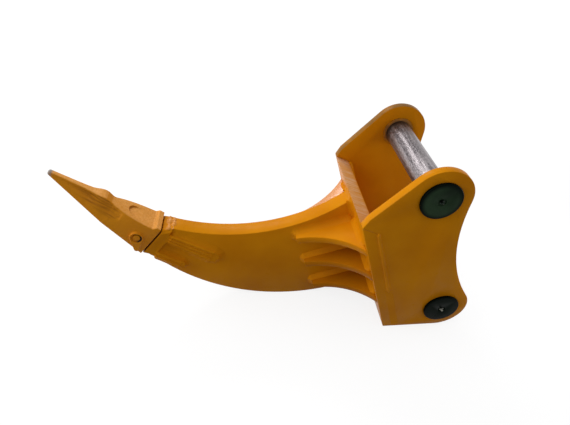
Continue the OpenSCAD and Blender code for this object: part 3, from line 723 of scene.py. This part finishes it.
def bare_steel(name, dark, bright):
    """Bare steel, streaked along the pins: the material, its point, its colour, and the
    socket that takes the colour."""
    material = bpy.data.materials.new(name)
    material.use_nodes = True
    tree = material.node_tree
    coat = tree.nodes["Principled BSDF"]
    point = place(tree, "ShaderNodeTexCoord").outputs["Object"]
    grain = place(tree, "ShaderNodeGroup", {"Vector": point, "Dark": dark, "Bright": bright},
                  node_tree=streaked)
    bump = place(tree, "ShaderNodeBump",
                 {"Height": grain.outputs["Height"], "Strength": 0.6, "Distance": 0.004})
    tree.links.new(grain.outputs["Color"], coat.inputs["Base Color"])
    tree.links.new(grain.outputs["Roughness"], coat.inputs["Roughness"])
    tree.links.new(bump.outputs["Normal"], coat.inputs["Normal"])
    coat.inputs["Metallic"].default_value = 1
    return material, point, grain.outputs["Color"], coat.inputs["Base Color"]


ring_steel, *_ = bare_steel("oiled steel", dark=(0.05, 0.045, 0.04, 1), bright=(0.25, 0.23, 0.21, 1))
retainer = nodes["tooth_pin_retainer"].data
retainer.materials.clear()
retainer.materials.append(ring_steel)


# Mounting pins: bright steel bars through the bushes, streaked along their length and darkened at their ends
# with painted shade, each with a dark flange disc, a cap disc with its bolt, and a nipple.
pin_end_shade = (0.080, 0.066, 0.056, 1)
end_shade_begins, end_shade_full = 0.130, 0.170
stick_disc_tone = (0.0290, 0.0550, 0.0270, 1)
link_disc_tone = (0.0040, 0.0095, 0.0040, 1)
disc_rim = (0.0012, 0.0032, 0.0018, 1)
rim_from, rim_to = 0.044, 0.056
turning_pitch = 0.004
disc_sheen = 0.025
disc_edge = 0.0012
pin_steel, point, colour, base_colour = bare_steel(
    "bright pin steel", dark=(0.060, 0.052, 0.056, 1), bright=(0.43, 0.39, 0.40, 1))
tree = pin_steel.node_tree
# Painted shade on the pin towards each end, where it runs into the bushes
off_middle = reckoned(tree, "ABSOLUTE", place(tree, "ShaderNodeSeparateXYZ", {"Vector": point}).outputs["Y"])
end_shaded = ranged(tree, off_middle, end_shade_begins, end_shade_full)
tree.links.new(mixed(tree, end_shaded, colour, pin_end_shade), base_colour)
bolt_steel, *_ = bare_steel("bolt steel", dark=(0.12, 0.115, 0.11, 1), bright=(0.40, 0.39, 0.37, 1))
dull_steel, *_ = bare_steel(
    "dull nipple steel", dark=(0.006, 0.010, 0.007, 1), bright=(0.022, 0.028, 0.022, 1))
bright_steel, *_ = bare_steel(
    "bright nipple steel", dark=(0.04, 0.04, 0.035, 1), bright=(0.24, 0.24, 0.20, 1))


def painted_disc(name, centre, tone):
    """Green-black enamel, darker at the rim, over faint turning marks about a centre."""
    material = bpy.data.materials.new(name)
    material.use_nodes = True
    tree = material.node_tree
    coat = tree.nodes["Principled BSDF"]
    point = place(tree, "ShaderNodeTexCoord").outputs["Object"]
    film = place(tree, "ShaderNodeGroup", {"Vector": point, "Tone": tone, "Deep tone": disc_rim},
                 node_tree=sprayed)
    reach = reach_from(tree, point, centre, about_pin)
    rim = ranged(tree, reach, rim_from, rim_to)
    turned = reckoned(tree, "SINE", product(tree, reach, math.tau / turning_pitch))
    marks = place(tree, "ShaderNodeBump", {"Height": turned, "Strength": 0.08, "Distance": 0.0004})
    tree.links.new(mixed(tree, rim, film.outputs["Color"], disc_rim), coat.inputs["Base Color"])
    tree.links.new(film.outputs["Roughness"], coat.inputs["Roughness"])
    tree.links.new(marks.outputs["Normal"], coat.inputs["Normal"])
    coat.inputs["Specular IOR Level"].default_value = disc_sheen
    return material


for pin, centre, tone, nipple in (("stick", stick_centre, stick_disc_tone, dull_steel),
                                  ("link", link_centre, link_disc_tone, bright_steel)):
    for part, steel in (("pin", pin_steel), ("cap_bolt", bolt_steel), ("grease_nipple", nipple)):
        bare = nodes[f"{pin}_{part}"].data
        bare.materials.clear()
        bare.materials.append(steel)
    disc_paint = painted_disc(f"green black enamel on {pin} discs", centre, tone)
    for part in ("flange", "cap"):
        disc = ground_edges(f"{pin}_pin_{part}", f"painted_{pin}_pin_{part}", disc_edge)
        finish(disc, disc_paint, "disc_paint", f"{pin}_pin_{part}")


# Floor: a plain pale sheet under the ripper, white where it is seen, with a faint shadow.
# The light that it throws back is weak, so that the undersides stay dark.
floor_size = 14
shadow_share, shadow_from, shadow_to = 0.2, 0.7, 2.4
bpy.ops.object.select_all(action="DESELECT")
bpy.ops.mesh.primitive_plane_add(size=floor_size, location=(0, 0, cad_low.z))
floor = bpy.context.object
floor.name = "floor"
floor_material = bpy.data.materials.new("pale floor")
floor_material.use_nodes = True
tree = floor_material.node_tree
tree.nodes.clear()


def seen_rays(tree):
    """One for rays that show the backdrop itself, and zero for the light that it gives."""
    rays = place(tree, "ShaderNodeLightPath").outputs
    mirrored = reckoned(tree, "MAXIMUM", rays["Is Glossy Ray"], rays["Is Transmission Ray"])
    return reckoned(tree, "MAXIMUM", rays["Is Camera Ray"], mirrored)


away = place(tree, "ShaderNodeVectorMath", {"Vector": place(tree, "ShaderNodeTexCoord").outputs["Object"]},
             operation="LENGTH")
shade = ranged(tree, away.outputs["Value"], shadow_from, shadow_to, shadow_share, 0.0)
lit = place(tree, "ShaderNodeBsdfDiffuse", {"Color": (0.95, 0.95, 0.95, 1)})
white = place(tree, "ShaderNodeEmission", {"Color": (1, 1, 1, 1), "Strength": 1.05})
shown = place(tree, "ShaderNodeMixShader",
              {"Fac": shade, "Shader": white.outputs["Emission"], "Shader_001": lit.outputs["BSDF"]})
bounce = place(tree, "ShaderNodeBsdfDiffuse", {"Color": (0.25, 0.25, 0.25, 1)})
both = place(tree, "ShaderNodeMixShader", {
    "Fac": seen_rays(tree), "Shader": bounce.outputs["BSDF"], "Shader_001": shown.outputs["Shader"],
})
place(tree, "ShaderNodeOutputMaterial", {"Surface": both.outputs["Shader"]})
floor.data.materials.append(floor_material)


# Light: an even studio sky, soft panels overhead, behind and to the left, and a small one
# to the right that shines in between the ears.
lit_spot = Vector((-0.3, 0, -0.3))
world = bpy.data.worlds.new("studio")
scene.world = world
world.use_nodes = True
tree = world.node_tree
tree.nodes.clear()
ambient = place(tree, "ShaderNodeBackground", {"Color": (0.96, 0.98, 1.0, 1), "Strength": 0.48})
white = place(tree, "ShaderNodeBackground", {"Color": (1, 1, 1, 1), "Strength": 1.0})
both = place(tree, "ShaderNodeMixShader", {
    "Fac": seen_rays(tree),
    "Shader": ambient.outputs["Background"], "Shader_001": white.outputs["Background"],
})
place(tree, "ShaderNodeOutputWorld", {"Surface": both.outputs["Shader"]})


def soft_panel(name, at, size, power):
    """A panel of soft light, turned towards the ripper."""
    bpy.ops.object.select_all(action="DESELECT")
    bpy.ops.object.light_add(type="AREA", location=at)
    lamp = bpy.context.object
    lamp.name = name
    lamp.data.shape = "RECTANGLE"
    lamp.data.size, lamp.data.size_y = size
    lamp.data.energy = power
    lamp.rotation_euler = (lit_spot - lamp.location).to_track_quat("-Z", "Y").to_euler()


soft_panel("overhead panel", at=(-0.9, 0.5, 3.2), size=(3.5, 3.5), power=22)
soft_panel("far panel", at=(-0.83, 2.33, 1.58), size=(0.9, 0.6), power=20)
soft_panel("left panel", at=(-3.2, 0.3, 1.0), size=(2.5, 2.5), power=66)
soft_panel("right panel", at=(1.0, -0.05, -0.1), size=(0.3, 0.5), power=3)


# Camera: close over the near side and looking down, at the photograph's viewing angle,
# with the photograph's frame.
camera_at = (-0.5302, -1.0336, 0.6608)
camera_turn = [math.radians(angle) for angle in (50.67, -2.64, -5.58)]
bpy.ops.object.select_all(action="DESELECT")
bpy.ops.object.camera_add(location=camera_at, rotation=camera_turn)
camera = bpy.context.object
camera.data.sensor_fit = "HORIZONTAL"
camera.data.sensor_width = 36
camera.data.lens = 26.39
scene.camera = camera
scene.view_settings.view_transform = "Standard"
